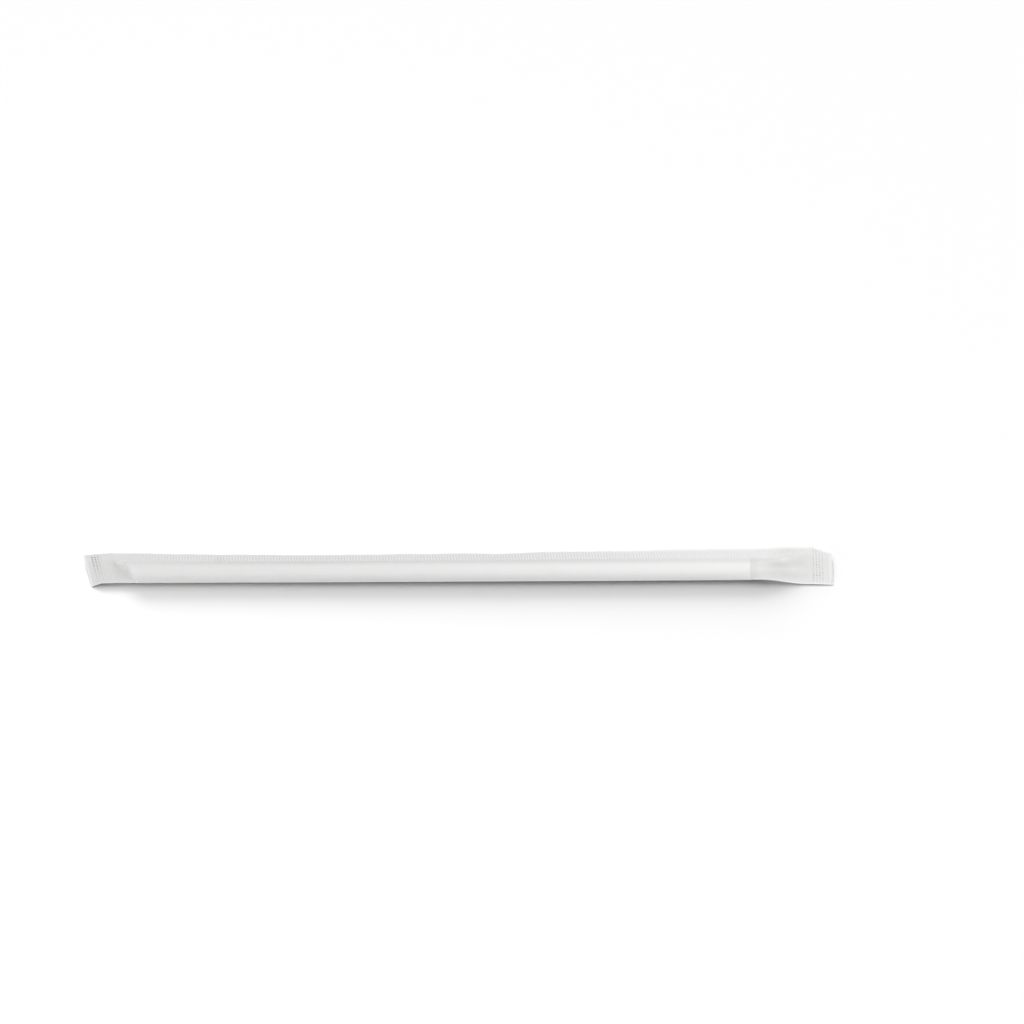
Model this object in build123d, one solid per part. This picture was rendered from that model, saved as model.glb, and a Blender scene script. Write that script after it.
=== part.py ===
from build123d import *

import os
from math import acos, asin, atan, cos, hypot, pi, radians, sin, tan

# A drinking straw sealed in a paper wrapper, lying on a table.
# Millimetres and degrees: +X along the straw, +Y from the wrapper's fold to its long seam, +Z up.
# The origin is on the table, under the middle of the wrapper's length and of its flat width.

# Straw
straw_diameter = 6.0
straw_wall = 0.38
straw_length = 197.0
tip_slant = 4.3  # how far along the straw its slanting left tip is cut
tip_turn = 213.0  # turn about the axis, from +Y over the top, of the tip's short side

# Paper sleeve round the straw
paper = 0.06  # thickness of one ply
straw_clearance = 0.05  # between the straw and the paper round it
end_play = 0.3  # at each end of the straw, before the sleeve starts to close
fold_standout = 0.2  # how far the fold stands out from the round of the sleeve
seam_standoff = 2.2  # from the round of the sleeve to the root of the long seam
seam_lift = 6.0  # slope of the long seam above level
rest_reach = 0.86  # of the strip on the table, from under the straw's axis towards the fold

# Crimped long seam
seam_width = 2.75
seam_margin = 0.4  # plain strip between the seam's root and its ribs
rib_overlap = 0.2  # how far the ribbed strip runs over the plain one
rib_pitch = 1.1
rib_height = 0.1  # of a rib above and below the seam's middle plane

# Empty lengths of sleeve between the straw and the end seals
left_neck = 5.3  # along the seam
left_fold_neck = 2.4  # along the fold, where the straw has pushed the seal askew
right_tail = 19.5
tail_gap = 0.06  # between the plies where they reach an end seal
left_spread = -0.2  # how far the fold moves out as the sleeve goes flat, to the left seal
right_spread = 0.4  # and to the right seal

# Crimped end seals
left_seal = 8.3
right_seal = 6.1
row_pitch = 0.88
row_height = 0.08  # of a ridge above and below the seal's middle plane
cut_margin = 1.7  # plain paper between the last ridge and the cut
left_mouth_rise = 1.6  # height of the fold where the left seal begins
left_cut_rise = 0.3  # height of the fold at the left cut
left_tilt = 5.0  # slope of the left seal, up towards the seam
right_mouth_rise = 0.4  # height of the fold where the right seal begins
right_mouth_tilt = 15.0  # slope of the right tail there
right_cut_tilt = 4.3  # slope of the right tail at its cut

# Sizes of the round section: turns are angles about the straw's axis, from +Y over the top to the fold
inner_radius = straw_diameter / 2 + straw_clearance
outer_radius = inner_radius + paper
middle_radius = (inner_radius + outer_radius) / 2
fold_reach = outer_radius + fold_standout
seam_reach = outer_radius + seam_standoff


def tangent_turn(reach):
    """Turn from a cusp of the sleeve to the place where its outer face meets the round."""
    return atan(paper / reach) + acos(outer_radius / hypot(reach, paper))


fold_tangent = tangent_turn(fold_reach)
seam_tangent = tangent_turn(seam_reach)
seam_turn = radians(seam_lift)
fold_turn = seam_turn + pi
table_turn = 3 * pi / 2
crown_start = seam_turn + seam_tangent
crown_end = fold_turn - fold_tangent
near_start = fold_turn + fold_tangent
near_end = table_turn - 2 * atan(rest_reach / outer_radius)
far_turn = 2 * pi + seam_turn - seam_tangent

# Places across the flat sleeve, measured from the fold: the paper keeps its width as it goes flat
flat_touch = middle_radius * tan(fold_tangent)
flat_leave = flat_touch + middle_radius * (crown_end - crown_start)
flat_root = flat_leave + middle_radius * tan(seam_tangent)
flat_width = flat_root + seam_width
flat_near = flat_touch + middle_radius * (near_end - near_start)
flat_rest = flat_near + middle_radius * tan((table_turn - near_end) / 2)
flat_far = flat_root - middle_radius * (tan(seam_tangent) + tan((far_turn - table_turn) / 2))

# Places of the wrapper on the table
wrapper_length = left_seal + left_neck + straw_length + right_tail + right_seal
left_cut = -wrapper_length / 2
left_mouth = left_cut + left_seal
straw_left = left_mouth + left_neck
straw_right = straw_left + straw_length
right_mouth = straw_right + right_tail
right_cut = right_mouth + right_seal
round_left = straw_left - end_play
round_right = straw_right + end_play
left_skew = left_neck - left_fold_neck
near_edge = -fold_reach - right_spread  # of the wrapper, from the axis
far_edge = -fold_reach - left_spread + flat_width * cos(radians(left_tilt)) * cos(asin(left_skew / flat_width))
axis_y = -(near_edge + far_edge) / 2
axis_z = outer_radius
right_cut_rise = paper + row_height
mouth_half = paper + tail_gap / 2


def polar(x, turn, radius, side=0.0):
    """A point about the straw's axis at a turn and radius, moved sideways towards larger turns."""
    y = axis_y + radius * cos(turn) - side * sin(turn)
    z = axis_z + radius * sin(turn) + side * cos(turn)
    return Vector(x, y, z)


def table_corner(x, turn, radius):
    """Where the ply that leaves the round at a turn meets the ply on the table."""
    half = (turn - table_turn) / 2
    return polar(x, table_turn + half, radius / cos(half))


class Flat:
    """A line across the flattened sleeve, sloping up from the fold to the seam's edge."""

    def __init__(self, x, tilt, rise, spread, skew=0.0):
        self.x = x
        self.rise = rise
        self.edge = axis_y - fold_reach - spread
        self.skew = skew
        self.climb = sin(radians(tilt))
        self.level = cos(radians(tilt)) * cos(asin(skew / flat_width))

    def at(self, across, lift=0.0):
        """A point at a distance from the fold, lifted off the middle plane of the plies."""
        upright = lift / hypot(self.level, self.climb)
        x = self.x + self.skew * (1 - across / flat_width)
        y = self.edge + across * self.level - upright * self.climb
        z = self.rise + across * self.climb + upright * self.level
        return Vector(x, y, z)


left_cut_line = Flat(left_cut, left_tilt, left_cut_rise, left_spread, left_skew)
left_mouth_line = Flat(left_mouth, left_tilt, left_mouth_rise, left_spread, left_skew)
right_mouth_line = Flat(right_mouth, right_mouth_tilt, right_mouth_rise, right_spread)
right_cut_line = Flat(right_cut, right_cut_tilt, right_cut_rise, right_spread)


def closed_wire(points, arcs=None):
    """A closed outline; arcs gives the middle point of each edge that is round, by its place in the list."""
    middles = arcs or {}
    edges = []
    for number, (start, end) in enumerate(zip(points, points[1:] + points[:1])):
        if number in middles:
            edges.append(ThreePointArc(start, middles[number], end))
        else:
            edges.append(Line(start, end))
    return Wire(edges)


def round_outside(x):
    """Outside of the sleeve round the straw, with the plain strip of its seam."""
    strip_end = seam_reach + seam_margin
    points = [
        polar(x, seam_turn, strip_end, paper),
        polar(x, seam_turn, seam_reach, paper),
        polar(x, crown_start, outer_radius),
        polar(x, crown_end, outer_radius),
        polar(x, fold_turn, fold_reach, -paper),
        polar(x, fold_turn, fold_reach, paper),
        polar(x, near_start, outer_radius),
        polar(x, near_end, outer_radius),
        table_corner(x, near_end, outer_radius),
        table_corner(x, far_turn, outer_radius),
        polar(x, seam_turn, seam_reach, -paper),
        polar(x, seam_turn, strip_end, -paper),
    ]
    crown = polar(x, (crown_start + crown_end) / 2, outer_radius)
    near = polar(x, (near_start + near_end) / 2, outer_radius)
    return closed_wire(points, {2: crown, 6: near})


def round_inside(x):
    """Inside of the sleeve round the straw."""
    points = [
        polar(x, seam_turn, inner_radius / cos(seam_tangent)),
        polar(x, crown_start, inner_radius),
        polar(x, crown_end, inner_radius),
        polar(x, fold_turn, inner_radius / cos(fold_tangent)),
        polar(x, near_start, inner_radius),
        polar(x, near_end, inner_radius),
        table_corner(x, near_end, inner_radius),
        table_corner(x, far_turn, inner_radius),
    ]
    crown = polar(x, (crown_start + crown_end) / 2, inner_radius)
    near = polar(x, (near_start + near_end) / 2, inner_radius)
    return closed_wire(points, {1: crown, 4: near})


def flat_outside(line):
    """Outside of the flattened sleeve where it reaches a seal, with the plain strip of its seam."""
    strip_end = flat_root + seam_margin
    top = [strip_end, flat_root, flat_leave, flat_touch, 0.0]
    bottom = [0.0, flat_touch, flat_near, flat_rest, flat_far, flat_root, strip_end]
    points = [line.at(across, mouth_half) for across in top]
    points += [line.at(across, -mouth_half) for across in bottom]
    return closed_wire(points)


def flat_inside(line):
    """Inside of the flattened sleeve where it reaches a seal."""
    half = tail_gap / 2
    points = [line.at(flat_root)]
    points += [line.at(across, half) for across in (flat_leave, flat_touch)]
    points += [line.at(paper)]
    points += [line.at(across, -half) for across in (flat_touch, flat_near, flat_rest, flat_far)]
    return closed_wire(points)


def sleeve(round_section, flat_section):
    """A skin of the sleeve: straight along the straw, and ruled down to the seal at each end."""
    straight = Face(round_section(round_left))
    skin = extrude(straight, amount=round_right - round_left, dir=(1, 0, 0))
    skin += ruled(flat_section(left_mouth_line), round_section(round_left))
    skin += ruled(round_section(round_right), flat_section(right_mouth_line))
    return skin


def ruled(*wires):
    return Solid.make_loft(wires, ruled=True)


def between(start, end, share):
    return start * (1 - share) + end * share


def plies(low, high, lift, half=paper):
    """Section of two pressed plies from one edge to the other, lifted off their middle plane."""
    up = Vector(1, 0, 0).cross(high - low).normalized()
    top = up * (lift + half)
    bottom = up * (lift - half)
    return closed_wire([low + top, high + top, high + bottom, low + bottom])


def straight_ribs():
    """The seam's ribs along the straw: a zigzag of two plies, drawn out across the seam."""
    length = round_right - round_left
    steps = 2 * max(1, round(length / rib_pitch))
    middle = [(length * number / steps, rib_height * (-1) ** number) for number in range(steps + 1)]
    upper = [(x, lift + paper) for x, lift in middle]
    lower = [(x, lift - paper) for x, lift in reversed(middle)]
    start = polar(round_left, seam_turn, seam_reach + seam_margin - rib_overlap)
    plane = Plane(start, x_dir=(1, 0, 0), z_dir=(0, cos(seam_turn), sin(seam_turn)))
    profile = plane * make_face(Polyline(*upper, *lower, close=True))
    return extrude(profile, amount=seam_width - seam_margin + rib_overlap)


def tail_ribs(x, line):
    """The seam's ribs from an end of the straw to the seal beyond it."""
    reaches = (seam_margin - rib_overlap, seam_width)
    round_ends = [polar(x, seam_turn, seam_reach + reach) for reach in reaches]
    flat_ends = [line.at(flat_root + reach) for reach in reaches]
    steps = 2 * max(1, round(abs(line.x - x) / rib_pitch))
    wires = []
    for number in range(steps + 1):
        low, high = [between(*ends, number / steps) for ends in zip(round_ends, flat_ends)]
        wires.append(plies(low, high, rib_height * (-1) ** number))
    return ruled(*wires)


def end_seal(mouth, cut):
    """An end seal: two plies pressed into ridges that run across the wrapper, with a plain margin at the cut."""
    length = abs(cut.x - mouth.x)
    steps = 2 * max(1, int((length - cut_margin) / row_pitch))
    lifts = [row_height * (-1) ** number for number in range(steps)]
    wires = [plies(mouth.at(0), mouth.at(flat_width), 0.0, mouth_half)]
    for number, lift in enumerate(lifts, start=1):
        share = number * row_pitch / 2 / length
        low, high = [between(mouth.at(across), cut.at(across), share) for across in (0, flat_width)]
        wires.append(plies(low, high, lift))
    wires.append(plies(cut.at(0), cut.at(flat_width), 0.0))
    return ruled(*wires)


def paper_wrapper():
    """The wrapper: one folded sheet, crimped along its seam and across both ends, hollow round the straw."""
    wrapper = sleeve(round_outside, flat_outside)
    wrapper += straight_ribs()
    wrapper += tail_ribs(round_left, left_mouth_line)
    wrapper += tail_ribs(round_right, right_mouth_line)
    wrapper += end_seal(left_mouth_line, left_cut_line)
    wrapper += end_seal(right_mouth_line, right_cut_line)
    return wrapper - sleeve(round_inside, flat_inside)


def drinking_straw():
    """The straw: a plain tube, cut square at its right end and on a slant at its left tip."""
    start = Plane((straw_left, axis_y, axis_z), x_dir=(0, 1, 0), z_dir=(1, 0, 0))
    section = Circle(straw_diameter / 2) - Circle(straw_diameter / 2 - straw_wall)
    tube = extrude(start * section, amount=straw_length)
    slope = tip_slant / straw_diameter
    short_side = radians(tip_turn)
    middle = (straw_left + tip_slant / 2, axis_y, axis_z)
    tip = Plane(middle, z_dir=(1, -slope * cos(short_side), -slope * sin(short_side)))
    return split(tube, bisect_by=tip, keep=Keep.TOP)


os.makedirs("parts", exist_ok=True)
export_step(paper_wrapper(), "parts/paper_wrapper.step")
export_step(drinking_straw(), "parts/drinking_straw.step")
print(f"wrapper {wrapper_length:.1f} long, {flat_width:.2f} wide when flat, axis at {axis_y:.2f}")
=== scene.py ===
import math

import bpy
import numpy as np
from mathutils import Matrix, Vector


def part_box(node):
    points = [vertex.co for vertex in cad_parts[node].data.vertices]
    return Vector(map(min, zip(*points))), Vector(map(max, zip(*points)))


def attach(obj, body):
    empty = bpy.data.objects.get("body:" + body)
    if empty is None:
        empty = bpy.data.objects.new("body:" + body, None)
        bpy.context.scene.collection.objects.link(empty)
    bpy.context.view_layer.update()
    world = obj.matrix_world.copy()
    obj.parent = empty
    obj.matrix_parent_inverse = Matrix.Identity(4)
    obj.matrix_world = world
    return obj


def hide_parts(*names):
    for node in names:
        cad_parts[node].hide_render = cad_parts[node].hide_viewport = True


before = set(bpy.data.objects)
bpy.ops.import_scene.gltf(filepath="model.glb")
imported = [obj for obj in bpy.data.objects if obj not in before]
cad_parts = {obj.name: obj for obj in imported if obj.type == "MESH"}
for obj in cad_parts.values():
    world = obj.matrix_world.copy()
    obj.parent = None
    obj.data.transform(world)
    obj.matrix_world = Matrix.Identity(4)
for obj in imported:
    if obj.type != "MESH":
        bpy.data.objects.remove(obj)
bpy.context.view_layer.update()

mm = 0.001  # sizes below are in millimetres, angles in degrees
tiny = 1e-6
sigmaReach = 3  # how far smoothing reaches, in sigmas
strawLow, strawHigh = [np.array(corner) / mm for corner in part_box("drinking_straw")]
wrapLow, wrapHigh = [np.array(corner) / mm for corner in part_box("paper_wrapper")]

# places of the wrapper, read off the frame
axisY, axisZ = (strawLow[1:] + strawHigh[1:]) / 2
sleeveRadius = axisZ  # outside of the paper round the straw, which rests on the table
cutLeft = wrapLow[0]
sleeveLength = wrapHigh[0] - wrapLow[0]
strawStart = strawLow[0] - cutLeft  # distances along the sleeve are from its left cut
strawEnd = strawHigh[0] - cutLeft

# the sleeve: control values along it are (distance along, value)
sleeve = {
    "paper": 0.06,
    "flatWidth": 13.9,
    "seamWidth": 3.1,
    "seamStandoff": 1.85,
    "restReach": [(85, 1.3), (207, 0.4)],  # the paper's contact with the table, in front of the axis
    "seamLift": [
        (19, 8.7), (31, 5.0), (43, 2.6), (69, 0.5), (84, 1.0), (100, 2.3), (115, 2.7),
        (131, 2.9), (147, 5.9), (163, 8.3), (179, 11.7), (194, 14.6), (211, 18.0),
    ],
    "foldOut": [(50, 0.42), (62, 0.5), (165, 0.5), (185, 0.42), (205, 0.42), (210.6, 0.5), (214, 0.9)],
    "foldTurn": [(190, 199.5), (205, 197), (210.6, 192), (214, 182.5)],  # droops, less past the straw
    "arcSteps": 60,
    "acrossSteps": 66,
    "rowSteps": 6,  # grid lines to one row of a seal, and to one rib
    "ribSteps": 5,
    "tubeStride": 6,  # along the straw only every sixth grid line is kept outside the seam
    "tubeMargins": (0.5, 1.0),
    "insideMargin": 0.4,
    "softAlong": 1.5,  # rounding of the creases, in grid steps
    "softAcross": 1.1,
    "edgeWave": 0.1,
    "edgeWaveLength": 11.0,
    "skinWave": 0.02,
    "skinSpacing": (18, 7),  # in grid steps
    "skinFromFold": 1.5,
    "skinFromSeam": 2.0,
    "tailWave": 0.1,
    "tailSpacing": (11, 7),
    "tailSoft": 4.0,
    "sharpAngle": 55.0,
    "seed": 11,
}
flatWidth = sleeve["flatWidth"]
rootAcross = flatWidth - sleeve["seamWidth"]

# end seals: corners as (x from the left cut, y from the straw's axis, z)
seals = {
    "leftLength": 8.3,
    "rightLength": 6.1,
    "tipSlant": 4.3,  # the straw's slanting tip, and the turn of its short side
    "tipTurn": 213.0,
    "tipPlay": 0.45,
    "endPlay": 0.3,
    "touchFrom": (1.7, 29.0),  # where the upper ply meets the straw: place across, turn from the fold
    "touchTo": (7.0, 64.0),  # and where it leaves it: place across, turn
    "leftCut": [(2.45, -3.3, 0.2), (-0.45, 10.36, 1.5)],
    "leftMouth": [(10.7, -3.0, 1.6), (8.1, 10.09, 2.6)],
    "rightMouth": [(230.1, -3.78, 0.4), (230.1, 9.79, 4.32)],
    "rightCut": [(236.4, -3.92, 0.14), (236.4, 10.11, 1.16)],
    "tailSettle": 2.4,  # how fast the under ply closes up past the straw
    "tailInside": 2.5,
    "tailFoldReach": 5.0,  # the fold comes down to the table in a soft double curve
    "tailFoldStretch": 1.2,
    "bentCorner": (3.1, 0.88, 3.0),  # left seal, by the fold: distance from the cut, lift, reach across
    "leftStep": 0.45,  # the under ply stands out past the cut of the upper ply
    "rightStep": 0.75,
    "cutSoft": 1.4,
    "cutFromFold": 0.8,
    "leftFoot": 0.2,  # the rim's foot: share of the way out to the under ply, and of the way down
    "rightFoot": 0.28,
    "footDrop": 0.7,
    "toothPitch": 1.41,
    "toothDepth": 0.3,
}
leftMouth = seals["leftLength"]
rightMouth = sleeveLength - seals["rightLength"]

crimp = {
    "Rib Pitch": 0.932,
    "Rib Lean": 0.2,
    "Rib Height": 0.085,
    "Rib Tone And Shade": 0.2,
    "Band Start": rootAcross + 0.15,
    "Band End": flatWidth - 0.7,
    "Band Soft": 0.12,
    "Split Start": flatWidth - 1.85,  # towards the right the ribs part into two rows of pips
    "Split End": flatWidth - 1.4,
    "Split From": 160.0,
    "Split Full": 190.0,
    "Pip Share": 0.65,
    "Ribs Grow From": 12.0,  # at the left the ribs are faint
    "Ribs Full": 36.0,
    "Faint Share": 0.4,
    "Left Mouth": leftMouth,
    "Right Mouth": rightMouth,
    "Mouth Soft": 0.3,
    "Row Pitch": 0.93,
    "Row Height": 0.05,
    "Row Tone And Shade": 0.05,
    "Row Soft": 0.1,
    "Left Rows": 1.85,
    "Right From": rightMouth - 1.0,
    "Right Rows": rightMouth - 0.165,
    "Right Rows End": rightMouth + 3.75,
    "Dot Pitch": 0.934,
    "Right Dot Pitch": 1.02,
    "Dot Depth": 0.09,
    "Dot Core": 0.1,  # deepest inside the core, gone at the rim, as shares of the pitch
    "Dot Rim": 0.45,
    "Dot Least": 0.4,  # the faintest dots' share of the depth
    "Dots Start": 1.0,
    "Dots Stop": flatWidth - 0.45,
    "Dots Soft": 0.35,
    "Left Dots Low": 2.0,  # the left seal's dots grow from the fold towards the seam
    "Left Dots High": 12.5,
    "Left Dots Least": 0.2,
    "Left Dots Fade": 4.3,  # the dots of both seals grow faint from here
    "Left Dots End": 5.3,
    "Right Dots Low": 2.2,  # the right seal's dots are strongest between these, measured across
    "Right Dots High": 9.2,
    "Right Dots Soft": 1.2,
    "Right Dots Least": 0.315,
    "Right Dots Most": 0.7,
    "Right Dots Fade": rightMouth + 2.0,
    "Right Dots End": rightMouth + 5.0,
    "Seed": 5.0,
}

# how pale the paper looks over what lies behind it, from 0 to 1, with painted light and shade mixed in
backingAndShade = {
    # hollow, seam and straw tables: partly the straw showing through, partly painted light and shade that
    # change stretch by stretch along the sleeve
    "hollowAndShade": [
        (14, 0.8), (19, 0.8), (36, 0.65), (68, 0.45), (100, 0.53), (131, 0.61), (163, 0.61), (194, 0.77),
    ],
    "seam": [(19, 0.63), (36, 0.63), (68, 0.54), (100, 0.54), (131, 0.48), (163, 0.54), (194, 0.63)],
    "seamSoft": 0.3,
    # painted light: over the straw the paper grows paler towards the right end
    "straw": [(17, 0.855), (90, 0.87), (131, 0.93), (194, 1.0)],
    "touchGap": 0.3,  # the straw shows where the paper lies on it, within this gap
    # painted shade: between these turns from the top the straw's paleness fades out towards the far side
    "farSideShadeTurn": (-32.0, 23.0),
    "loose": [(8, 0.43), (11, 0.58), (17, 0.58), (19, 0.41)],
    "seal": 0.53,
    "byRoot": 0.3,  # loose paper next to the long seam
    "byRootAcross": (8.0, 10.5),
    "byRootFrom": (9.0, 11.5),
    "byRootTo": (224.0, 218.0),
    "foldShade": [(55, 0.0), (75, 0.25), (195, 0.25), (208, 0.0)],  # painted shade: a darker line by the fold's painted highlight
    "byFoldPlace": 0.85,
    "byFoldWidth": 0.4,
    # painted light and shade that follow the relief: the tail goes darker where its waves stand out, creases
    # paler on their ridges and darker where pressed in
    "reliefShade": 0.1,
    "crease": 0.8,
}

# painted highlights along the cut and folded edges: width, or width and tone
edgeHighlights = {
    "cut": 0.28,
    "fold": (0.4, 0.8),
    "seam": (0.6, 0.8),
    "seamFrom": (150.0, 200.0),
    "endFold": 0.55,  # the fold's edge past the straw, and at the left seal's corner
    "tailFrom": (strawEnd - 1.0, strawEnd + 1.0),
    "cornerFrom": (leftMouth + 1.5, leftMouth - 0.5),
    "cornerShare": 0.6,
}

# soft folds pressed into the upper ply: from and to are (along, across)
creases = [
    {"from": (213.5, 7.0), "to": (221.2, 8.9), "height": 0.24, "width": 0.7},
    {"from": (221.2, 8.9), "to": (226.5, 11.0), "height": 0.24, "width": 0.7},
    {"from": (218.5, 6.2), "to": (227.0, 7.4), "height": -0.15, "width": 0.9},
    {"from": (213.5, 3.4), "to": (224.0, 4.6), "height": 0.2, "width": 0.7},
    {"from": (221.0, 2.2), "to": (228.0, 3.0), "height": -0.14, "width": 0.7},
    {"from": (12.9, 6.8), "to": (13.5, 5.4), "height": -0.3, "width": 0.5},
    {"from": (42.4, 11.6), "to": (42.8, 12.3), "height": -0.28, "width": 0.7},
]


def tableAlong(table, run):
    places, values = zip(*table)
    return np.interp(run, places, values)


def ease(value):
    value = np.clip(value, 0, 1)
    return value * value * (3 - 2 * value)


def rise(value, start, end):
    # smooth rise from 0 at start to 1 at end
    return ease((value - start) / (end - start))


def falloff(distance, width):
    return np.exp(-(distance / width) ** 2)


def polar(turn, radius):
    return np.stack([axisY + radius * np.cos(turn), axisZ + radius * np.sin(turn)], axis=-1)


def spread(points, width, across):
    # places along a chain of points, stretched to the width of the ply
    points = np.vstack(points)
    steps = np.hypot(*np.diff(points, axis=0).T)
    reach = np.concatenate([[0.0], np.cumsum(steps)])
    reach *= width / reach[-1]
    return np.stack([np.interp(across, reach, points[:, axis]) for axis in (0, 1)], axis=-1)


def roundSection(run, across):
    # the sleeve round the straw: upper and under ply, as (y, z) from the fold to the seam's edge
    radius = sleeveRadius
    steps = sleeve["arcSteps"]
    seamTurn = math.radians(tableAlong(sleeve["seamLift"], run))
    foldTurn = math.radians(tableAlong(sleeve["foldTurn"], run))
    foldReach = radius + tableAlong(sleeve["foldOut"], run)
    seamReach = radius + sleeve["seamStandoff"]
    foldAngle = math.acos(radius / foldReach)
    seamAngle = math.acos(radius / seamReach)
    tableTurn = 1.5 * math.pi
    restReach = tableAlong(sleeve["restReach"], run)
    outward = np.array([math.cos(seamTurn), math.sin(seamTurn)])
    upward = np.array([-outward[1], outward[0]]) * sleeve["paper"]
    fold = polar(foldTurn, foldReach)
    root = polar(seamTurn, seamReach)
    crown = polar(np.linspace(foldTurn - foldAngle, seamTurn + seamAngle, steps), radius)
    nearEnd = tableTurn - 2 * math.atan(restReach / radius)
    near = [polar(np.linspace(foldTurn + foldAngle, nearEnd, steps // 2), radius)]
    if nearEnd < foldTurn + foldAngle:
        near = []  # the under ply goes straight from the fold to the table
    farHalf = (2 * math.pi + seamTurn - seamAngle - tableTurn) / 2
    strip = [(axisY - restReach, 0.0), polar(tableTurn + farHalf, radius / math.cos(farHalf))]
    inSeam = np.clip(across - rootAcross, 0, None)[:, None] * outward
    plies = []
    for chain, lift in (([fold, crown], upward), ([fold, *near, strip], -upward)):
        ply = spread(chain + [root + lift], rootAcross, np.minimum(across, rootAcross))
        plies.append(ply + inSeam)
    return plies


def lineAcross(ends, across):
    # straight line across the flat sleeve, from the fold to the seam's edge
    share = (across / flatWidth)[:, None]
    points = [np.array([cutLeft + x, axisY + y, z]) for x, y, z in ends]
    return points[0] * (1 - share) + points[1] * share


def columnRuns():
    # grid lines across the sleeve: finest where the seals are crimped
    fine = crimp["Row Pitch"] / sleeve["rowSteps"]
    ribStep = crimp["Rib Pitch"] / sleeve["ribSteps"]
    left = np.arange(0, leftMouth - fine / 2, fine)
    middle = np.linspace(leftMouth, rightMouth, round((rightMouth - leftMouth) / ribStep) + 1)
    right = np.linspace(rightMouth, sleeveLength, round(seals["rightLength"] / fine) + 1)[1:]
    return np.concatenate([left, middle, right])


def rowPlaces():
    # places across one ply, one of them at the seam's root, and the number of rows in the seam
    across = np.linspace(0, flatWidth, sleeve["acrossSteps"] + 1)
    rootStep = int(np.argmin(abs(across - rootAcross)))
    across[:rootStep + 1] = np.linspace(0, rootAcross, rootStep + 1)
    across[rootStep:] = np.linspace(rootAcross, flatWidth, len(across) - rootStep)
    return across, len(across) - 1 - rootStep


def leavesStraw(across):
    # where the upper ply leaves the straw's slanting tip, as a distance along the sleeve
    foldTurn = tableAlong(sleeve["foldTurn"], strawStart)
    fromAcross, fromFold = seals["touchFrom"]
    toAcross, toTurn = seals["touchTo"]
    turns = [foldTurn, foldTurn - fromFold, toTurn, toTurn]
    turn = np.interp(across, [0, fromAcross, toAcross, rootAcross], turns)
    tip = seals["tipSlant"] / 2 * (1 + np.cos(np.radians(turn - seals["tipTurn"])))
    return strawStart + tip - seals["tipPlay"]


def leftNeckPlies(run, across, plies):
    # past the left seal: a facet by the fold, and a fan from the seam's corner of the seal to the straw
    mouth = lineAcross(seals["leftMouth"], across)
    lift = np.array([0, 0, sleeve["paper"]])
    leave = leavesStraw(across)
    underLeave = np.interp(across, [0, rootAcross], leave[[0, -1]])
    upper, under = roundSection(leave[0], across)
    upper = np.column_stack([cutLeft + leave, upper])
    under = np.column_stack([cutLeft + underLeave, under])
    share = ((run - leftMouth) / (leave - leftMouth))[:, None]
    upperRuled = (mouth + lift) * (1 - share) + upper * share
    share = ((run - leftMouth) / (underLeave - leftMouth))[:, None]
    underRuled = (mouth - lift) * (1 - share) + under * share

    body = across <= rootAcross + tiny
    corner = mouth[body][-1] + lift
    depth = rootAcross - across
    steepness = depth[body][::-1] / (leave[body][::-1] - leftMouth)
    ray = depth / max(run - leftMouth, tiny)
    meet = np.interp(ray, steepness, across[body][::-1])
    target = np.column_stack([np.interp(meet, across, upper[:, axis]) for axis in range(3)])
    share = ((run - leftMouth) / (np.interp(meet, across, leave) - leftMouth))[:, None]
    fanPoints = corner + (target - corner) * share
    toStraw = (run - leftMouth) / (leave[0] - leftMouth)
    toCorner = (across / rootAcross)[:, None]
    facet = (mouth[0] + lift) * (1 - toStraw - toCorner) + corner * toCorner + upper[0] * toStraw
    neck = np.where((ray <= steepness[-1])[:, None], fanPoints, facet)
    neck = np.where(body[:, None], neck, upperRuled)
    ahead = (run < leave)[:, None]
    underAhead = (run < underLeave)[:, None]
    return np.where(ahead, neck, plies[0]), np.where(underAhead, underRuled, plies[1])


def rightTailPlies(run, across):
    # past the straw: the sleeve goes flat towards the right seal, the under ply first
    upper, under = roundSection(run, across)
    xEnd = np.full(len(across), cutLeft + strawEnd)
    mouth = lineAcross(seals["rightMouth"], across)
    lift = np.array([0, 0, sleeve["paper"]])
    share = (run - strawEnd) / (rightMouth - strawEnd)
    inside = ease(across / seals["tailInside"]) * ease((rootAcross - across) / seals["tailInside"])
    settled = share + (1 - (1 - share) ** seals["tailSettle"] - share) * inside
    nearFold = ease((seals["tailFoldReach"] - across) / seals["tailFoldReach"])
    stretch = seals["tailFoldStretch"]
    bent = share + (ease(share * stretch - (stretch - 1) / 2) - share) * nearFold
    settled = settled + (bent - share) * (1 - inside)
    plies = []
    for section, drop, gone in ((upper, lift, bent[:, None]), (under, -lift, settled[:, None])):
        ply = np.column_stack([xEnd, section]) * (1 - gone) + (mouth + drop) * gone
        ply[:, 0] = cutLeft + run
        plies.append(ply)
    return plies


def sealPlies(ends, otherEnds, share, across):
    lift = np.array([0, 0, sleeve["paper"]])
    line = lineAcross(ends, across) * (1 - share) + lineAcross(otherEnds, across) * share
    return line + lift, line - lift


def soften(grid, axis, sigma):
    # rounds creases along one direction of the grid; the ends keep their slope
    reach = math.ceil(sigmaReach * sigma)
    weights = np.exp(-0.5 * (np.arange(-reach, reach + 1) / sigma) ** 2)
    weights /= weights.sum()
    grid = np.moveaxis(grid, axis, 0)
    before = 2 * grid[:1] - grid[reach:0:-1]
    after = 2 * grid[-1:] - grid[-2:-reach - 2:-1]
    padded = np.concatenate([before, grid, after])
    result = sum(weight * padded[k:k + len(grid)] for k, weight in enumerate(weights))
    return np.moveaxis(result, 0, axis)


def outwardNormals(grid):
    normals = np.cross(np.gradient(grid, axis=1), np.gradient(grid, axis=0))
    return normals / np.linalg.norm(normals, axis=2, keepdims=True)


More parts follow.
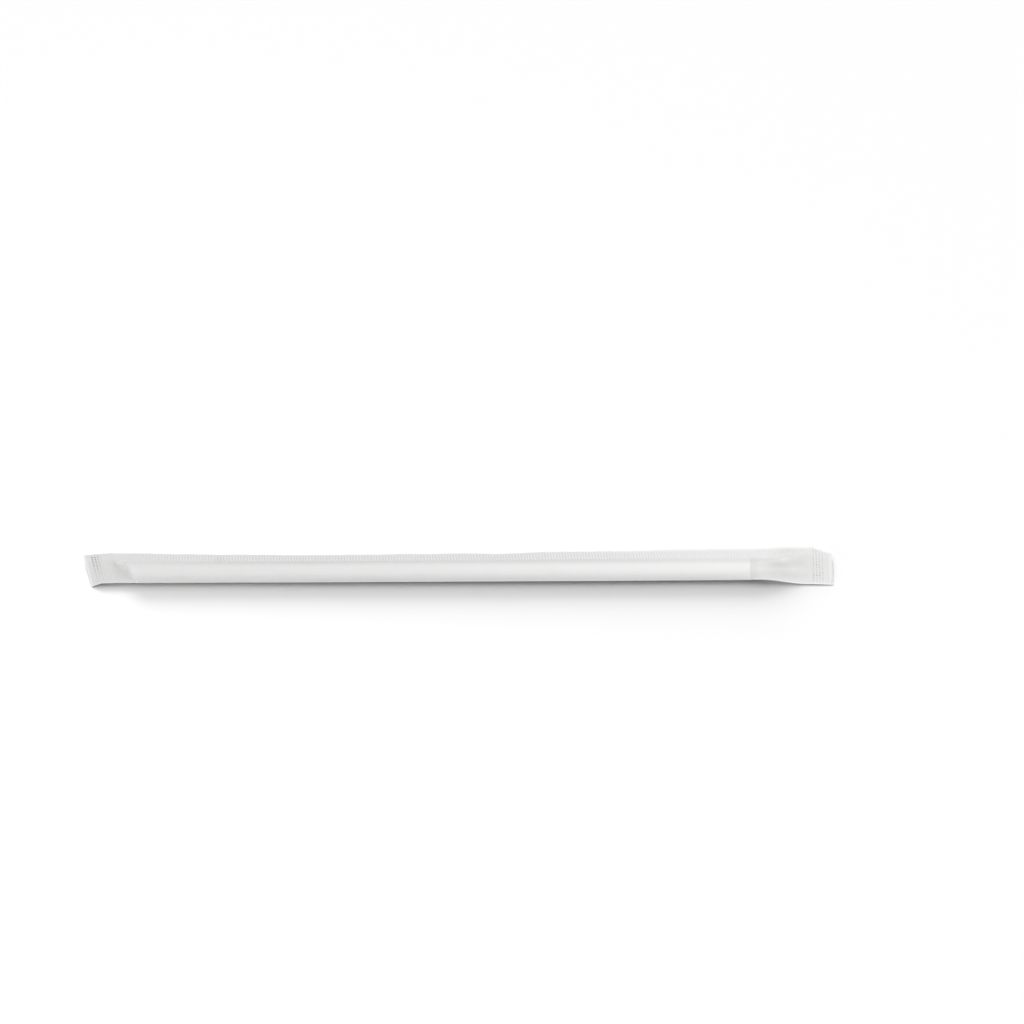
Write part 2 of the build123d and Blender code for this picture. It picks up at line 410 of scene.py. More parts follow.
def upperNormals(grid):
    # outward normals, where the under ply takes those of the upper ply over it
    normals = outwardNormals(grid)
    middle = grid.shape[1] // 2
    normals[:, middle + 1:] = normals[:, middle - 1::-1].copy()
    return normals


def smoothNoise(size, spacing, rng):
    # seeded wavy values on a grid, smoothed over a few steps; the rough borders are cut off
    borders = [math.ceil(sigmaReach * step) for step in spacing] + [0] * (len(size) - len(spacing))
    noise = rng.standard_normal([count + 2 * border for count, border in zip(size, borders)])
    for axis, step in enumerate(spacing):
        noise = soften(noise, axis, step)
    noise = noise[tuple(slice(border, border + count) for count, border in zip(size, borders))]
    return noise / noise.std()


def sheetGrid(runs, across):
    # the folded sheet as a grid: rows run from the seam's upper edge round the fold to its under edge
    rows = []
    for run in runs:
        if run <= leftMouth:
            upper, under = sealPlies(seals["leftCut"], seals["leftMouth"], run / leftMouth, across)
            place, height, reach = seals["bentCorner"]
            bend = np.interp(run, [0, place, leftMouth], [0, height, 0]) * np.clip(1 - across / reach, 0, 1)
            upper[:, 2] += bend
            under[:, 2] += bend
        elif run >= rightMouth:
            share = (run - rightMouth) / (sleeveLength - rightMouth)
            upper, under = sealPlies(seals["rightMouth"], seals["rightCut"], share, across)
        elif run > strawEnd:
            upper, under = rightTailPlies(run, across)
        else:
            x = np.full(len(across), cutLeft + run)
            upper, under = [np.column_stack([x, ply]) for ply in roundSection(run, across)]
            if run < strawStart + seals["tipSlant"]:
                upper, under = leftNeckPlies(run, across, (upper, under))
        fold = (upper[:1] + under[:1]) / 2
        rows.append(np.concatenate([upper[:0:-1], fold, under[1:]]))
    grid = soften(np.array(rows), 1, sleeve["softAcross"])
    return soften(grid, 0, sleeve["softAlong"])


def pressDetails(grid, runs, acrossRow):
    # creases, a slightly wavy seam edge and the paper's own unevenness, with painted light and shade that
    # follow the creases and the tail's waves
    rng = np.random.default_rng(sleeve["seed"])
    normals = outwardNormals(grid)
    inSeam = np.clip((acrossRow - rootAcross) / sleeve["seamWidth"], 0, 1)
    meanStep = sleeveLength / len(runs)
    wave = smoothNoise((len(runs), 1), (sleeve["edgeWaveLength"] / meanStep / sigmaReach,), rng)
    grid = grid + upperNormals(grid) * (wave * inSeam * sleeve["edgeWave"])[:, :, None]
    isUpper = np.arange(len(acrossRow)) <= len(acrossRow) // 2
    inSeal = (runs < leftMouth) | (runs > rightMouth)
    pressed = (acrossRow > rootAcross) | inSeal[:, None]  # both plies move together
    reliefShade = np.zeros(grid.shape[:2])
    for crease in creases:
        start, end = np.array(crease["from"]), np.array(crease["to"])
        line = end - start
        fromRun, fromAcross = runs[:, None] - start[0], acrossRow - start[1]
        onLine = np.clip((fromRun * line[0] + fromAcross * line[1]) / (line @ line), 0, 1)
        gap = np.hypot(fromRun - onLine * line[0], fromAcross - onLine * line[1])
        press = crease["height"] * np.exp(-0.5 * (gap / crease["width"]) ** 2)
        grid[:, :, 2] += np.where(isUpper | pressed, press, 0)
        # painted light and shade: raised creases paler, pressed ones darker
        reliefShade += press * isUpper * backingAndShade["crease"]
    skin = smoothNoise(grid.shape[:2], sleeve["skinSpacing"], rng) * sleeve["skinWave"]
    tail = ease((runs - strawEnd) / sleeve["tailSoft"]) * ease((rightMouth - runs) / sleeve["tailSoft"])
    tailSkin = smoothNoise(grid.shape[:2], sleeve["tailSpacing"], rng) * tail[:, None]
    skin += tailSkin * sleeve["tailWave"]
    # painted shade: the tail goes darker where its waves stand out
    reliefShade -= tailSkin * isUpper * backingAndShade["reliefShade"]
    fromSeam = ease((rootAcross - acrossRow) / sleeve["skinFromSeam"])
    skin *= fromSeam * ease(acrossRow / sleeve["skinFromFold"]) * isUpper
    grid = grid + normals * skin[:, :, None]

    # at both cuts the upper ply ends short of the under ply, at the left in fine teeth
    teeth = abs(2 * (acrossRow / seals["toothPitch"] % 1) - 1) * seals["toothDepth"]
    stepBack = ease(acrossRow / seals["cutFromFold"]) * isUpper
    atLeft = ease(1 - runs / seals["cutSoft"])[:, None]
    atRight = ease(1 - (sleeveLength - runs) / seals["cutSoft"])[:, None]
    along = np.gradient(grid, axis=0)
    along /= np.linalg.norm(along, axis=2, keepdims=True)
    back = (atLeft * (seals["leftStep"] - teeth) - atRight * seals["rightStep"]) * stepBack
    return grid + along * back[:, :, None], reliefShade


def edgeHighlightTone(run, across):
    # painted highlight: 1 on the edge, falling off inside it
    cuts = np.maximum(falloff(run, edgeHighlights["cut"]), falloff(sleeveLength - run, edgeHighlights["cut"]))
    corner = edgeHighlights["cornerShare"] * rise(run, *edgeHighlights["cornerFrom"])
    ends = falloff(across, edgeHighlights["endFold"]) * np.maximum(rise(run, *edgeHighlights["tailFrom"]), corner)
    foldWidth, foldTone = edgeHighlights["fold"]
    fold = np.maximum(ends, falloff(across, foldWidth) * foldTone)
    seamWidth, seamTone = edgeHighlights["seam"]
    seam = falloff(flatWidth - across, seamWidth) * seamTone * rise(run, *edgeHighlights["seamFrom"])
    return np.maximum(np.maximum(cuts, fold), seam)


def backingAndShadeTone(grid, runs, acrossRow, reliefShade):
    fromAxisY, fromAxisZ = grid[:, :, 1] - axisY, grid[:, :, 2] - axisZ
    gap = np.clip(np.hypot(fromAxisY, fromAxisZ) - sleeveRadius, 0, None)
    turn = np.degrees(np.arctan2(fromAxisZ, fromAxisY)) % 360 - 90  # from the top towards the fold
    # painted shade: the straw's paleness fades out over the top towards the far side
    touchingAndShaded = falloff(gap, backingAndShade["touchGap"]) * rise(turn, *backingAndShade["farSideShadeTurn"])
    onStraw = (runs[:, None] >= leavesStraw(acrossRow)) & (runs <= strawEnd - seals["endPlay"])[:, None]
    inSeal = ((runs < leftMouth) | (runs > rightMouth))[:, None]
    inSeam = ease((acrossRow - rootAcross) / backingAndShade["seamSoft"])
    tables = ("hollowAndShade", "seam", "straw", "loose", "foldShade")
    hollowAndShade, seam, overStraw, loose, foldShade = [tableAlong(backingAndShade[name], runs)[:, None] for name in tables]
    byRoot = rise(runs, *backingAndShade["byRootFrom"]) * rise(runs, *backingAndShade["byRootTo"])
    byRoot = rise(acrossRow, *backingAndShade["byRootAcross"]) * byRoot[:, None]
    backedAndShaded = np.where(inSeal, backingAndShade["seal"], loose + byRoot * backingAndShade["byRoot"])
    # over the straw: show-through, with painted shade over the top and far side and painted light towards the
    # right end
    backedAndShaded = np.where(onStraw, hollowAndShade + (overStraw - hollowAndShade) * touchingAndShaded, backedAndShaded)
    backedAndShaded += (seam - backedAndShaded) * inSeam
    # painted shade: a darker line along the fold
    backedAndShaded -= foldShade * falloff(acrossRow - backingAndShade["byFoldPlace"], backingAndShade["byFoldWidth"])
    return np.clip(backedAndShaded + reliefShade, 0, 1)


def keptLines(runs, rowCount, seamRows):
    # the stretch of the straw, the grid lines dropped there outside the seam, and the points kept
    stride = sleeve["tubeStride"]
    startMargin, endMargin = sleeve["tubeMargins"]
    start = int(np.searchsorted(runs, strawStart + seals["tipSlant"] + startMargin))
    end = int(np.searchsorted(runs, strawEnd - endMargin))
    end = start + (end - start) // stride * stride
    dropped = np.zeros(len(runs), bool)
    dropped[start + 1:end] = True
    dropped[start:end + 1:stride] = False
    rows = np.arange(rowCount)
    inSeam = (rows <= seamRows) | (rows >= rowCount - 1 - seamRows)
    return (start, end), dropped, ~dropped[:, None] | inSeam


def sheetFaces(index, tube, seamRows):
    start, end = tube
    stride = sleeve["tubeStride"]
    lastRow = index.shape[1] - 1
    faces = []
    for i in range(len(index) - 1):
        for j in range(lastRow):
            if start <= i < end and seamRows <= j < lastRow - seamRows:
                continue
            faces.append([index[i, j], index[i, j + 1], index[i + 1, j + 1], index[i + 1, j]])
        faces.append([index[i, lastRow], index[i, 0], index[i + 1, 0], index[i + 1, lastRow]])
    for i in range(start, end, stride):
        ahead = i + stride
        for j in range(seamRows, lastRow - seamRows):
            face = [index[i, j], index[i, j + 1], index[ahead, j + 1], index[ahead, j]]
            if j == seamRows:  # joins the seam's finer grid
                face = face[:3] + [index[k, j] for k in range(ahead, i, -1)]
            elif j == lastRow - seamRows - 1:
                face = [index[k, j + 1] for k in range(i, ahead + 1)] + [index[ahead, j], index[i, j]]
            faces.append(face)
    return faces


def cutRims(grid, index, first):
    # rims at the cuts: down from the upper ply's edge, then out to the under ply's
    lastRow = index.shape[1] - 1
    middle = lastRow // 2
    points = []
    places = []
    faces = []
    for i, turn, foot in ((0, -1, seals["leftFoot"]), (len(index) - 1, 1, seals["rightFoot"])):
        steps = [first + len(points) + j for j in range(middle)] + [index[i, middle]]
        for j in range(middle):
            upperEdge, underEdge = grid[i, j], grid[i, lastRow - j]
            points.append(upperEdge + (underEdge - upperEdge) * np.array([foot, foot, seals["footDrop"]]))
            places.append((i, j))
        for j in range(middle):
            mirror = lastRow - j
            upperStrip = [index[i, j], index[i, j + 1], steps[j + 1], steps[j]]
            underStrip = [steps[j], steps[j + 1], index[i, mirror - 1], index[i, mirror]]
            faces.append(list(dict.fromkeys(upperStrip))[::turn])
            faces.append(list(dict.fromkeys(underStrip))[::turn])
        side = [index[i, 0], steps[0], index[i, lastRow]]
        faces.append(side[::turn])
    return np.array(points), tuple(np.array(places).T), faces


def insideSheet(grid, runs, dropped, seamRows, first):
    # inside of the sleeve: every second point of the grid, one ply further in
    lastRow = grid.shape[1] - 1
    inner = grid - outwardNormals(grid) * sleeve["paper"]
    low, high = leftMouth + sleeve["insideMargin"], rightMouth - sleeve["insideMargin"]
    lines = [i for i in range(len(runs)) if low < runs[i] < high and not dropped[i]]
    lines = lines[::2] + ([lines[-1]] if len(lines) % 2 == 0 else [])
    rows = list(range(seamRows + 2, lastRow - seamRows - 1, 2))
    points = inner[np.ix_(lines, rows)].reshape(-1, 3)
    index = first + np.arange(len(points)).reshape(len(lines), len(rows))
    faces = []
    for a in range(len(lines) - 1):
        for b in range(len(rows)):
            c = (b + 1) % len(rows)
            faces.append([index[a, b], index[a + 1, b], index[a + 1, c], index[a, c]])
    for a, turn in ((0, 1), (len(lines) - 1, -1)):  # both ends are closed flat
        for b in range((len(rows) - 1) // 2):
            mirror = len(rows) - 1 - b
            ring = [index[a, b], index[a, b + 1], index[a, mirror - 1], index[a, mirror]]
            faces.append(list(dict.fromkeys(ring))[::turn])
    return points, faces


def wrapperMesh():
    runs = columnRuns()
    across, seamRows = rowPlaces()
    acrossRow = np.concatenate([across[:0:-1], across])
    grid, reliefShade = pressDetails(sheetGrid(runs, across), runs, acrossRow)
    grid[:, :, 2] = np.maximum(grid[:, :, 2], 0.0)  # nothing goes below the table
    tube, dropped, kept = keptLines(runs, len(acrossRow), seamRows)
    keptCount = int(kept.sum())
    index = np.full(kept.shape, -1)
    index[kept] = np.arange(keptCount)
    rimPoints, rimPlaces, rimFaces = cutRims(grid, index, keptCount)
    innerPoints, innerFaces = insideSheet(grid, runs, dropped, seamRows, keptCount + len(rimPoints))
    points = np.concatenate([grid[kept], rimPoints, innerPoints]) * mm
    faces = sheetFaces(index, tube, seamRows) + rimFaces + innerFaces
    mesh = bpy.data.meshes.new("paperWrapper")
    mesh.from_pydata(points.tolist(), [], [[int(corner) for corner in face] for face in faces])

    # what the crimp and the finish need to know at each point
    runGrid, acrossGrid = np.meshgrid(runs, acrossRow, indexing="ij")
    backedAndShaded = backingAndShadeTone(grid, runs, acrossRow, reliefShade)
    # painted highlights along the cuts, the fold and the seam's edge
    edgeHighlight = edgeHighlightTone(runGrid, acrossGrid)
    isLeft = rimPlaces[0] == 0  # painted shade: the right cut's rim gets no paleness and no highlight, a darker line between the plies
    values = {
        "flatRun": [runGrid[kept], runGrid[rimPlaces]],
        "flatAcross": [acrossGrid[kept], acrossGrid[rimPlaces]],
        "backedAndShaded": [backedAndShaded[kept], backedAndShaded[rimPlaces] * isLeft],
        "edgeHighlight": [edgeHighlight[kept], edgeHighlight[rimPlaces] * isLeft],
    }
    for name, parts in values.items():
        attribute = mesh.attributes.new(name, "FLOAT", "POINT")
        attribute.data.foreach_set("value", np.concatenate(parts + [np.zeros(len(innerPoints))]))
    lift = upperNormals(grid)
    attribute = mesh.attributes.new("liftDirection", "FLOAT_VECTOR", "POINT")
    vectors = np.concatenate([lift[kept], lift[rimPlaces], np.zeros(innerPoints.shape)])
    attribute.data.foreach_set("vector", vectors.ravel())
    print("wrapper sheet:", len(points), "points,", len(faces), "faces")
    return mesh


class NodeMaker:
    # short calls for nodes of one tree
    def __init__(self, tree):
        self.tree = tree

    def add(self, kind, inputs=(), **settings):
        node = self.tree.nodes.new(kind)
        for name, value in settings.items():
            setattr(node, name, value)
        for place, value in dict(inputs).items():
            self.feed(node.inputs[place], value)
        return node

    def feed(self, socket, value):
        if isinstance(value, bpy.types.NodeSocket):
            self.tree.links.new(value, socket)
        else:
            socket.default_value = value

    def math(self, operation, *values):
        node = self.add("ShaderNodeMath", enumerate(values), operation=operation)
        return node.outputs[0]

    def flip(self, value):
        return self.math("SUBTRACT", 1.0, value)

    def blend(self, share, low, high):
        return self.math("MULTIPLY_ADD", share, self.math("SUBTRACT", high, low), low)

    def step(self, value, low, high):
        # smooth rise from 0 at low to 1 at high
        node = self.add("ShaderNodeMapRange", interpolation_type="SMOOTHSTEP")
        self.feed(node.inputs["Value"], value)
        self.feed(node.inputs["From Min"], low)
        self.feed(node.inputs["From Max"], high)
        return node.outputs["Result"]

    def between(self, value, low, high, soft):
        entered = self.step(value, self.math("SUBTRACT", low, soft), self.math("ADD", low, soft))
        left = self.step(value, self.math("SUBTRACT", high, soft), self.math("ADD", high, soft))
        return self.math("SUBTRACT", entered, left)

    def mix(self, share, first, second):
        # sockets 6 and 7 take the colours, 2 gives the mixed one
        node = self.add("ShaderNodeMix", {"Factor": share, 6: first, 7: second}, data_type="RGBA")
        return node.outputs[2]


def crimpTree():
    tree = bpy.data.node_groups.new("crimpPress", "GeometryNodeTree")
    tree.interface.new_socket("Geometry", in_out="INPUT", socket_type="NodeSocketGeometry")
    for name in crimp:
        tree.interface.new_socket(name, in_out="INPUT", socket_type="NodeSocketFloat")
    tree.interface.new_socket("Paper", in_out="INPUT", socket_type="NodeSocketMaterial")
    tree.interface.new_socket("Geometry", in_out="OUTPUT", socket_type="NodeSocketGeometry")
    make = NodeMaker(tree)
    given = make.add("NodeGroupInput").outputs
    run = make.add("GeometryNodeInputNamedAttribute", {"Name": "flatRun"}).outputs["Attribute"]
    across = make.add("GeometryNodeInputNamedAttribute", {"Name": "flatAcross"}).outputs["Attribute"]
    direction = make.add("GeometryNodeInputNamedAttribute", data_type="FLOAT_VECTOR")
    make.feed(direction.inputs["Name"], "liftDirection")

    # ribs along the long seam
    leaning = make.math("ADD", run, make.math("MULTIPLY", across, given["Rib Lean"]))
    turn = make.math("MULTIPLY", make.math("DIVIDE", leaning, given["Rib Pitch"]), 2 * math.pi)
    wave = make.math("SINE", turn)
    band = make.between(across, given["Band Start"], given["Band End"], given["Band Soft"])
    body = make.between(run, given["Left Mouth"], given["Right Mouth"], given["Mouth Soft"])
    band = make.math("MULTIPLY", band, body)
    parted = make.step(run, given["Split From"], given["Split Full"])
    split = make.between(across, given["Split Start"], given["Split End"], given["Band Soft"])
    band = make.math("MULTIPLY", band, make.flip(make.math("MULTIPLY", split, parted)))
    band = make.math("MULTIPLY", band, make.blend(parted, 1.0, given["Pip Share"]))
    grown = make.step(run, given["Ribs Grow From"], given["Ribs Full"])
    band = make.math("MULTIPLY", band, make.blend(grown, given["Faint Share"], 1.0))
    ribs = make.math("MULTIPLY", band, wave)
    lift = make.math("MULTIPLY", ribs, given["Rib Height"])

    # rows across both end seals
    leftRows = make.between(run, given["Left Rows"], given["Left Mouth"], given["Row Soft"])
    rightRows = make.between(run, given["Right Rows"], given["Right Rows End"], given["Row Soft"])
    isRight = make.math("GREATER_THAN", run, given["Right From"])
    leftFrom = make.math("SUBTRACT", run, given["Left Rows"])
    rightFrom = make.math("SUBTRACT", run, given["Right Rows"])
    rowPlace = make.math("DIVIDE", make.blend(isRight, leftFrom, rightFrom), given["Row Pitch"])
    rowWave = make.math("COSINE", make.math("MULTIPLY", rowPlace, 2 * math.pi))
    ridges = make.math("MULTIPLY", make.math("ADD", leftRows, rightRows), rowWave)
    lift = make.math("ADD", lift, make.math("MULTIPLY", ridges, given["Row Height"]))

    # pressed dots between the rows
    dotPitch = make.blend(isRight, given["Dot Pitch"], given["Right Dot Pitch"])
    dotPlace = make.math("DIVIDE", across, dotPitch)
    rowOff = make.math("SUBTRACT", make.math("FRACT", rowPlace), 0.5)
    dotOff = make.math("SUBTRACT", make.math("FRACT", dotPlace), 0.5)
    squares = [make.math("POWER", off, 2.0) for off in (rowOff, dotOff)]
    reach = make.math("SQRT", make.math("ADD", *squares))
    dot = make.flip(make.step(reach, given["Dot Core"], given["Dot Rim"]))
    cell = make.add("ShaderNodeCombineXYZ", {0: make.math("FLOOR", rowPlace), 2: isRight})
    make.feed(cell.inputs[1], make.math("FLOOR", dotPlace))
    chance = make.add("ShaderNodeTexWhiteNoise", noise_dimensions="4D")
    make.feed(chance.inputs["Vector"], cell.outputs[0])
    make.feed(chance.inputs["W"], given["Seed"])
    uneven = make.math("POWER", chance.outputs["Value"], make.math("ADD", 1.0, isRight))
    strength = make.blend(uneven, given["Dot Least"], 1.0)
    leftGone = make.step(run, given["Left Dots Fade"], given["Left Dots End"])
    towardsSeam = make.step(across, given["Left Dots Low"], given["Left Dots High"])
    leftShare = make.blend(towardsSeam, given["Left Dots Least"], 1.0)
    leftFade = make.math("MULTIPLY", make.flip(leftGone), leftShare)
    rightGone = make.step(run, given["Right Dots Fade"], given["Right Dots End"])
    strong = make.between(across, given["Right Dots Low"], given["Right Dots High"], given["Right Dots Soft"])
    rightShare = make.blend(strong, given["Right Dots Least"], given["Right Dots Most"])
    rightFade = make.math("MULTIPLY", make.flip(rightGone), rightShare)
    leftDots = make.math("MULTIPLY", leftRows, leftFade)
    fade = make.math("ADD", leftDots, make.math("MULTIPLY", rightRows, rightFade))
    inside = make.between(across, given["Dots Start"], given["Dots Stop"], given["Dots Soft"])
    dots = make.math("MULTIPLY", make.math("MULTIPLY", dot, strength), make.math("MULTIPLY", fade, inside))
    lift = make.math("SUBTRACT", lift, make.math("MULTIPLY", dots, given["Dot Depth"]))

    offset = make.add("ShaderNodeVectorMath", {0: direction.outputs["Attribute"]}, operation="SCALE")
    make.feed(offset.inputs["Scale"], make.math("MULTIPLY", lift, mm))
    moved = make.add("GeometryNodeSetPosition", {"Geometry": given["Geometry"], "Offset": offset.outputs[0]})
    # crests lighter and troughs darker: partly the pressed paper's tone, partly painted light and shade
    crestToneAndShade = make.math("MULTIPLY", ribs, given["Rib Tone And Shade"])
    crestToneAndShade = make.math("ADD", crestToneAndShade, make.math("MULTIPLY", ridges, given["Row Tone And Shade"]))
    press = make.math("SUBTRACT", dots, crestToneAndShade)  # pressed dots go darker; crests of ribs and rows go lighter and their troughs darker, partly the pressed paper's tone and partly painted light and shade
    stored = make.add("GeometryNodeStoreNamedAttribute", {"Geometry": moved.outputs[0], "Name": "press"})
    make.feed(stored.inputs["Value"], press)
    real = make.add("GeometryNodeRealizeInstances", {"Geometry": stored.outputs[0]})
    finished = make.add("GeometryNodeSetMaterial", {"Geometry": real.outputs[0], "Material": given["Paper"]})
    make.add("NodeGroupOutput", {"Geometry": finished.outputs[0]})
    return tree


def pressCrimp(piece, material):
    tree = crimpTree()
    modifier = piece.modifiers.new("crimp", "NODES")
    modifier.node_group = tree
    for item in tree.interface.items_tree:
        if item.in_out == "INPUT" and item.name in crimp:
            modifier[item.identifier] = float(crimp[item.name])
        elif item.in_out == "INPUT" and item.name == "Paper":
            modifier[item.identifier] = material
    graph = bpy.context.evaluated_depsgraph_get()
    pressed = bpy.data.meshes.new_from_object(piece.evaluated_get(graph), depsgraph=graph)
    piece.modifiers.clear()
    piece.data = pressed
    print("crimp pressed:", len(pressed.polygons), "faces")


def newMaterial(name):
    material = bpy.data.materials.new(name)
    material.use_nodes = True
    material.node_tree.nodes.clear()
    return material, NodeMaker(material.node_tree)


def paperNoise(make, finish, name):
    place = make.add("ShaderNodeTexCoord").outputs["Object"]
    noise = make.add("ShaderNodeTexNoise", {"Vector": place})
    make.feed(noise.inputs["Scale"], finish[name + "Scale"])
    make.feed(noise.inputs["Detail"], finish[name + "Detail"])
    return noise.outputs["Fac"]


def paperShader(make, finish, colour, fibre):
    bump = make.add("ShaderNodeBump", {"Height": fibre, "Strength": finish["bump"]})
    make.feed(bump.inputs["Distance"], finish["bumpDepth"] * mm)
    shader = make.add("ShaderNodeBsdfPrincipled", {"Base Color": colour, "Normal": bump.outputs[0]})
    make.feed(shader.inputs["Roughness"], finish["roughness"])
    make.feed(shader.inputs["Specular IOR Level"], finish["specular"])
    make.add("ShaderNodeOutputMaterial", {"Surface": shader.outputs[0]})


wrapperFinish = {
    "bare": (0.70, 0.70, 0.695),  # where nothing at all lies behind the paper
    "overStraw": (0.905, 0.905, 0.9),
    # colour of the painted highlights on the edges
    "edgeHighlight": (0.97, 0.97, 0.965),
    "pressed": 0.55,
    "cloud": 0.03,
    "cloudScale": 260.0,
    "cloudDetail": 3.0,
    "fibre": 0.03,
    "fibreScale": 2600.0,
    "fibreDetail": 4.0,
    "bump": 0.25,
    "bumpDepth": 0.02,
    "roughness": 0.85,
    "specular": 0.2,
}


def wrapperPaper():
    material, make = newMaterial("wrapperPaper")
    backedAndShaded = make.add("ShaderNodeAttribute", attribute_name="backedAndShaded").outputs["Fac"]
    press = make.add("ShaderNodeAttribute", attribute_name="press").outputs["Fac"]
    edgeHighlight = make.add("ShaderNodeAttribute", attribute_name="edgeHighlight").outputs["Fac"]
    cloud = paperNoise(make, wrapperFinish, "cloud")
    fibre = paperNoise(make, wrapperFinish, "fibre")
    bare, overStraw, highlightColour = [(*wrapperFinish[name], 1) for name in ("bare", "overStraw", "edgeHighlight")]
    # paler where the straw shows through, with painted light and shade mixed in, and painted highlights on
    # the edges
    tone = make.mix(edgeHighlight, make.mix(backedAndShaded, bare, overStraw), highlightColour)
    cloudy = make.math("MULTIPLY_ADD", cloud, wrapperFinish["cloud"], 1 - wrapperFinish["cloud"] / 2)
    fibrous = make.math("MULTIPLY_ADD", fibre, wrapperFinish["fibre"], 1 - wrapperFinish["fibre"] / 2)
    # press darkens the pressed dots and carries the painted light and shade of the crimp's crests and troughs
    dark = make.math("MULTIPLY_ADD", press, -wrapperFinish["pressed"], 1.0)
    shade = make.math("MULTIPLY", make.math("MULTIPLY", cloudy, fibrous), dark)
    colour = make.add("ShaderNodeVectorMath", {0: tone}, operation="SCALE")
    make.feed(colour.inputs["Scale"], shade)
    paperShader(make, wrapperFinish, colour.outputs[0], fibre)
    return material


strawFinish = {
    "pale": (0.9, 0.9, 0.89),
    "deep": (0.84, 0.84, 0.83),
    "fibreScale": 1800.0,
    "fibreDetail": 4.0,
    "bump": 0.2,
    "bumpDepth": 0.02,
    "roughness": 0.75,
    "specular": 0.5,
}


def strawPaper():
    material, make = newMaterial("strawPaper")
    fibre = paperNoise(make, strawFinish, "fibre")
    tone = make.mix(fibre, (*strawFinish["deep"], 1), (*strawFinish["pale"], 1))
    paperShader(make, strawFinish, tone, fibre)
    return material


wrapper = bpy.data.objects.new("wrapperSheet", wrapperMesh())
bpy.context.scene.collection.objects.link(wrapper)
pressCrimp(wrapper, wrapperPaper())
for polygon in wrapper.data.polygons:
    polygon.use_smooth = True
wrapper.data.set_sharp_from_angle(angle=math.radians(sleeve["sharpAngle"]))

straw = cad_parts["drinking_straw"]
straw.data.materials.clear()
straw.data.materials.append(strawPaper())
print("straw finished")

studio = {
    "elevation": 41.0,
    "azimuth": -0.4,
    "distance": 3.0,
    "clipEnd": 20.0,
    "frameWidth": 323.5,
    "aimRight": 16.97,
    "aimUp": 21.2,
    "domeStrength": 0.5,
    "boxPower": 1.1,
    "boxSize": (0.5, 0.4),
    "boxPlace": (0.32, -0.1, 0.38),
    "fillPower": 6.0,
    "fillSize": (0.6, 0.6),
    "fillPlace": (-1.2, 0.0, 0.8),
    "floorTone": (0.6, 0.6, 0.6),
    "floorHalf": 4.0,
    "floorDrop": 0.02,
    "floorSunTurn": 15.0,  # from straight behind towards the left
    "floorSuns": [  # light the floor alone, from behind, for its soft shadow: strength, height, spread
        (3.41, 25.0, 36.0),
        (2.49, 60.0, 120.0),
    ],
    "floorFillPower": 0.12,  # lights the floor alone, at the left end
    "floorFillSize": (0.12, 0.12),
    "floorFillPlace": (-0.22, -0.12, 0.1),
}


def pointAt(item, target):
    toward = Vector(target) - item.location
    item.rotation_euler = toward.to_track_quat("-Z", "Y").to_euler()


def addCamera(scene):
    azimuth, elevation = math.radians(studio["azimuth"]), math.radians(studio["elevation"])
    flat = math.cos(elevation)
    back = Vector((math.sin(azimuth) * flat, -math.cos(azimuth) * flat, math.sin(elevation)))
    right = Vector((math.cos(azimuth), math.sin(azimuth), 0))
    up = back.cross(right)
    aim = (Vector((0, axisY, 0)) + right * studio["aimRight"] + up * studio["aimUp"]) * mm
    lens = bpy.data.cameras.new("camera")
    lens.lens = lens.sensor_width * studio["distance"] / (studio["frameWidth"] * mm)
    lens.clip_end = studio["clipEnd"]
    camera = bpy.data.objects.new("camera", lens)
    turned = Matrix((right, up, back)).transposed().to_4x4()
    camera.matrix_world = Matrix.Translation(aim + back * studio["distance"]) @ turned
    scene.collection.objects.link(camera)
    scene.camera = camera


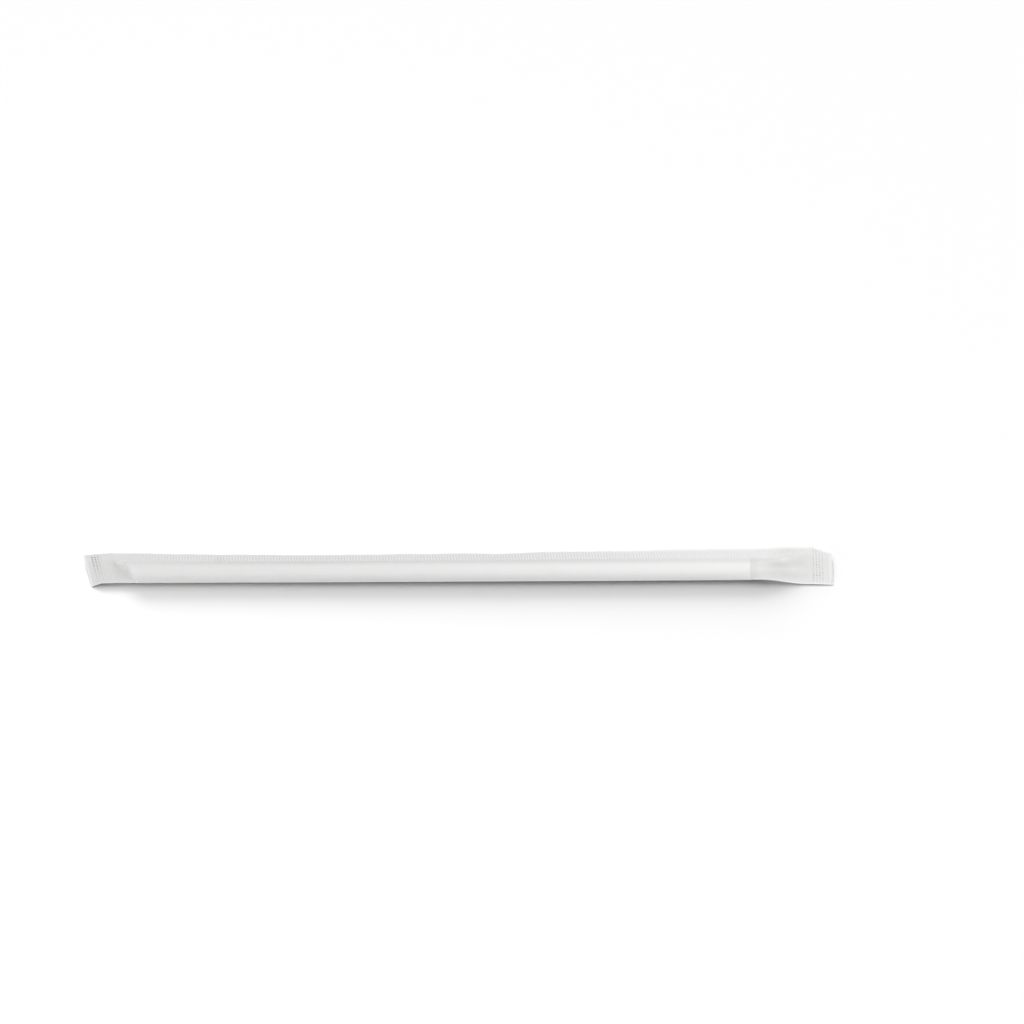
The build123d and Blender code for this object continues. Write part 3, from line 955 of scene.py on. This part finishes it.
def addFloor(scene):
    half = studio["floorHalf"]
    corners = [(-half, -half, 0), (half, -half, 0), (half, half, 0), (-half, half, 0)]
    mesh = bpy.data.meshes.new("floor")
    mesh.from_pydata(corners, [], [(0, 1, 2, 3)])
    floor = bpy.data.objects.new("floor", mesh)
    floor.location.z = -studio["floorDrop"] * mm
    scene.collection.objects.link(floor)
    material, make = newMaterial("paleFloor")
    matt = make.add("ShaderNodeBsdfDiffuse", {"Color": (*studio["floorTone"], 1)})
    make.add("ShaderNodeOutputMaterial", {"Surface": matt.outputs[0]})
    mesh.materials.append(material)
    return floor


def addDome(scene):
    # white to the camera, softer as a light
    world = bpy.data.worlds.new("softDome")
    world.use_nodes = True
    scene.world = world
    world.node_tree.nodes.clear()
    make = NodeMaker(world.node_tree)
    path = make.add("ShaderNodeLightPath").outputs
    mirrored = make.math("MAXIMUM", path["Is Glossy Ray"], path["Is Transmission Ray"])
    seen = make.math("MAXIMUM", path["Is Camera Ray"], mirrored)
    strength = make.blend(seen, studio["domeStrength"], 1.0)
    dome = make.add("ShaderNodeBackground", {"Color": (1, 1, 1, 1), "Strength": strength})
    make.add("ShaderNodeOutputWorld", {"Surface": dome.outputs[0]})


def addLights(scene, floor):
    piece = (wrapper, straw)
    panels = (("softbox", "box", piece), ("fillPanel", "fill", piece), ("floorFill", "floorFill", (floor,)))
    lights = []
    for title, name, lit in panels:
        panel = bpy.data.lights.new(title, "AREA")
        panel.shape = "RECTANGLE"
        panel.size, panel.size_y = studio[name + "Size"]
        panel.energy = studio[name + "Power"]
        lights.append((panel, studio[name + "Place"], lit))
    turn = math.radians(studio["floorSunTurn"])
    for number, (strength, height, spreadAngle) in enumerate(studio["floorSuns"]):
        sun = bpy.data.lights.new("floorSun" + str(number), "SUN")
        sun.energy = strength
        sun.angle = math.radians(spreadAngle)
        flat = math.cos(math.radians(height))
        place = (-flat * math.sin(turn), flat * math.cos(turn), math.sin(math.radians(height)))
        lights.append((sun, place, (floor,)))
    for light, place, lit in lights:
        lamp = bpy.data.objects.new(light.name, light)
        lamp.location = place
        pointAt(lamp, (0, 0, 0))
        lamp.visible_camera = False
        scene.collection.objects.link(lamp)
        lamp.light_linking.receiver_collection = bpy.data.collections.new(light.name)
        for item in lit:
            lamp.light_linking.receiver_collection.objects.link(item)


def buildStudio():
    scene = bpy.context.scene
    scene.view_settings.view_transform = "Standard"
    addCamera(scene)
    floor = addFloor(scene)
    addDome(scene)
    addLights(scene, floor)
    print("studio ready")


buildStudio()

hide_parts("paper_wrapper")
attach(wrapper, "root")
